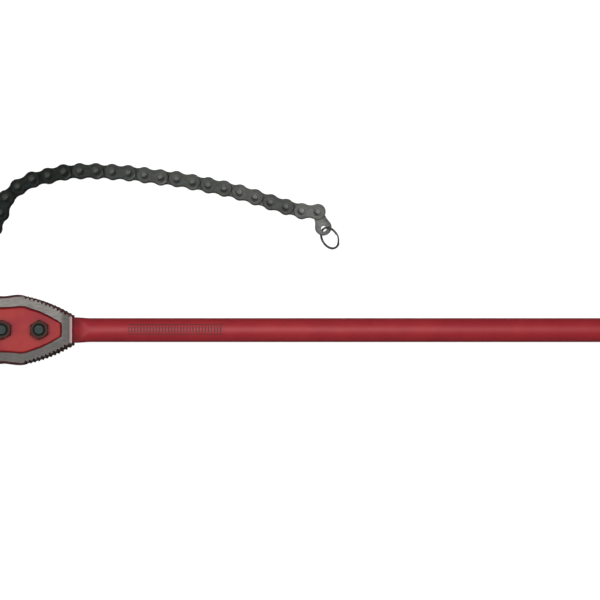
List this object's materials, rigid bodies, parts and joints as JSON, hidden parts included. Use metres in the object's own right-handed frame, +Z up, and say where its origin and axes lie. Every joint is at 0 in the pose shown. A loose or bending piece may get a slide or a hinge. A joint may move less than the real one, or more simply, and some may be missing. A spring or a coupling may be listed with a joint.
{
  "type": "chain pipe wrench",
  "caption": "Reversible chain pipe wrench: a pair of toothed double-ended jaw plates bolted to a long round handle, with a plate chain, pull tab and ring.",
  "frame": {"origin": "centre of the flat face of the centre bolt's head, on which the tool rests", "axes": "+X along the handle from the head to its end, +Y to the side where the chain lies, +Z up, along the bolts from heads to nuts"},
  "size_m": [0.6901, 0.1981, 0.0511],
  "materials": {
    "red_paint": "dark red gloss paint on a forged bar",
    "ground_steel": "ground rim around a red painted web, with dark teeth",
    "dark_bolt": "black oxide",
    "black_chain": "oiled black steel",
    "grey_steel": "plain grey steel",
    "ring_wire": "dark spring wire"
  },
  "bodies": {
    "head_and_handle": {"handle": "red_paint", "jaw_front": "ground_steel", "jaw_rear": "ground_steel", "bolt_chain_side": "dark_bolt", "bolt_centre": "dark_bolt", "bolt_handle_side": "dark_bolt", "nut_chain_side": "dark_bolt", "nut_centre": "dark_bolt", "nut_handle_side": "dark_bolt", "spacer_tube": "grey_steel"},
    "shackle": {"shackle": "black_chain"},
    "link_01": {"link_01_outer": "black_chain"},
    "link_02": {"link_02_inner": "black_chain"},
    "link_03": {"link_03_outer": "black_chain"},
    "link_04": {"link_04_inner": "black_chain"},
    "link_05": {"link_05_outer": "black_chain"},
    "link_06": {"link_06_inner": "black_chain"},
    "link_07": {"link_07_outer": "black_chain"},
    "link_08": {"link_08_inner": "black_chain"},
    "link_09": {"link_09_outer": "black_chain"},
    "link_10": {"link_10_inner": "black_chain"},
    "link_11": {"link_11_outer": "black_chain"},
    "link_12": {"link_12_inner": "black_chain"},
    "link_13": {"link_13_outer": "black_chain"},
    "link_14": {"link_14_inner": "black_chain"},
    "link_15": {"link_15_outer": "black_chain"},
    "link_16": {"link_16_inner": "black_chain"},
    "link_17": {"link_17_outer": "black_chain"},
    "link_18": {"link_18_inner": "black_chain"},
    "link_19": {"link_19_outer": "black_chain"},
    "link_20": {"link_20_inner": "black_chain"},
    "link_21": {"link_21_outer": "black_chain"},
    "link_22": {"link_22_inner": "black_chain"},
    "link_23": {"link_23_outer": "black_chain"},
    "link_24": {"link_24_inner": "black_chain"},
    "link_25": {"link_25_outer": "black_chain"},
    "pull_tab": {"pull_tab": "grey_steel"},
    "split_ring": {"split_ring": "ring_wire"}
  },
  "joints": [
    {"name": "shackle_hinge", "type": "hinge", "parent": "head_and_handle", "child": "shackle", "pos_m": [-0.0363, 0, 0.0235], "axis": [0, 0, 1], "range_deg": [-8, 150]},
    {"name": "link_01_hinge", "type": "hinge", "parent": "shackle", "child": "link_01", "pos_m": [-0.02649, 0.05564, 0.0235], "axis": [0, 0, 1], "range_deg": [-8, 35]},
    {"name": "link_02_hinge", "type": "hinge", "parent": "link_01", "child": "link_02", "pos_m": [-0.02158, 0.07074, 0.0235], "axis": [0, 0, -1], "range_deg": [-35, 8]},
    {"name": "link_03_hinge", "type": "hinge", "parent": "link_02", "child": "link_03", "pos_m": [-0.01615, 0.08566, 0.0235], "axis": [0, 0, 1], "range_deg": [-8, 35]},
    {"name": "link_04_hinge", "type": "hinge", "parent": "link_03", "child": "link_04", "pos_m": [-0.00995, 0.10027, 0.0235], "axis": [0, 0, -1], "range_deg": [-35, 8]},
    {"name": "link_05_hinge", "type": "hinge", "parent": "link_04", "child": "link_05", "pos_m": [-0.00324, 0.11466, 0.0235], "axis": [0, 0, 1], "range_deg": [-8, 35]},
    {"name": "link_06_hinge", "type": "hinge", "parent": "link_05", "child": "link_06", "pos_m": [0.00219, 0.12958, 0.0235], "axis": [0, 0, -1], "range_deg": [-35, 8]},
    {"name": "link_07_hinge", "type": "hinge", "parent": "link_06", "child": "link_07", "pos_m": [0.0138, 0.1404, 0.0235], "axis": [0, 0, 1], "range_deg": [-8, 35]},
    {"name": "link_08_hinge", "type": "hinge", "parent": "link_07", "child": "link_08", "pos_m": [0.02781, 0.14786, 0.0235], "axis": [0, 0, -1], "range_deg": [-35, 8]},
    {"name": "link_09_hinge", "type": "hinge", "parent": "link_08", "child": "link_09", "pos_m": [0.04328, 0.15143, 0.0235], "axis": [0, 0, 1], "range_deg": [-8, 35]},
    {"name": "link_10_hinge", "type": "hinge", "parent": "link_09", "child": "link_10", "pos_m": [0.05875, 0.155, 0.0235], "axis": [0, 0, -1], "range_deg": [-50, 12]},
    {"name": "link_11_hinge", "type": "hinge", "parent": "link_10", "child": "link_11", "pos_m": [0.07459, 0.1561, 0.0235], "axis": [0, 0, 1], "range_deg": [-12, 50]},
    {"name": "link_12_hinge", "type": "hinge", "parent": "link_11", "child": "link_12", "pos_m": [0.09046, 0.1561, 0.0235], "axis": [0, 0, -1], "range_deg": [-50, 12]},
    {"name": "link_13_hinge", "type": "hinge", "parent": "link_12", "child": "link_13", "pos_m": [0.10632, 0.15527, 0.0235], "axis": [0, 0, 1], "range_deg": [-12, 50]},
    {"name": "link_14_hinge", "type": "hinge", "parent": "link_13", "child": "link_14", "pos_m": [0.12215, 0.15417, 0.0235], "axis": [0, 0, -1], "range_deg": [-50, 18]},
    {"name": "link_15_hinge", "type": "hinge", "parent": "link_14", "child": "link_15", "pos_m": [0.13791, 0.15223, 0.0235], "axis": [0, 0, 1], "range_deg": [-18, 50]},
    {"name": "link_16_hinge", "type": "hinge", "parent": "link_15", "child": "link_16", "pos_m": [0.15363, 0.15002, 0.0235], "axis": [0, 0, -1], "range_deg": [-50, 18]},
    {"name": "link_17_hinge", "type": "hinge", "parent": "link_16", "child": "link_17", "pos_m": [0.16942, 0.14836, 0.0235], "axis": [0, 0, 1], "range_deg": [-18, 50]},
    {"name": "link_18_hinge", "type": "hinge", "parent": "link_17", "child": "link_18", "pos_m": [0.185, 0.14533, 0.0235], "axis": [0, 0, -1], "range_deg": [-80, 30]},
    {"name": "link_19_hinge", "type": "hinge", "parent": "link_18", "child": "link_19", "pos_m": [0.20058, 0.1423, 0.0235], "axis": [0, 0, 1], "range_deg": [-35, 80]},
    {"name": "link_20_hinge", "type": "hinge", "parent": "link_19", "child": "link_20", "pos_m": [0.21611, 0.139, 0.0235], "axis": [0, 0, -1], "range_deg": [-80, 50]},
    {"name": "link_21_hinge", "type": "hinge", "parent": "link_20", "child": "link_21", "pos_m": [0.23152, 0.13516, 0.0235], "axis": [0, 0, 1], "range_deg": [-80, 80]},
    {"name": "link_22_hinge", "type": "hinge", "parent": "link_21", "child": "link_22", "pos_m": [0.2467, 0.13052, 0.0235], "axis": [0, 0, -1], "range_deg": [-80, 80]},
    {"name": "link_23_hinge", "type": "hinge", "parent": "link_22", "child": "link_23", "pos_m": [0.26179, 0.12562, 0.0235], "axis": [0, 0, 1], "range_deg": [-80, 80]},
    {"name": "link_24_hinge", "type": "hinge", "parent": "link_23", "child": "link_24", "pos_m": [0.27698, 0.12098, 0.0235], "axis": [0, 0, -1], "range_deg": [-80, 80]},
    {"name": "link_25_hinge", "type": "hinge", "parent": "link_24", "child": "link_25", "pos_m": [0.29231, 0.11687, 0.0235], "axis": [0, 0, 1], "range_deg": [-80, 80]},
    {"name": "tab_hinge", "type": "hinge", "parent": "link_25", "child": "pull_tab", "pos_m": [0.30816, 0.11604, 0.0235], "axis": [0, 0, -1], "range_deg": [-80, 25]},
    {"name": "ring_hinge", "type": "hinge", "parent": "pull_tab", "child": "split_ring", "pos_m": [0.31394, 0.09962, 0.0235], "axis": [0.5446, -0.8387, 0], "range_deg": [0, 84]}
  ]
}
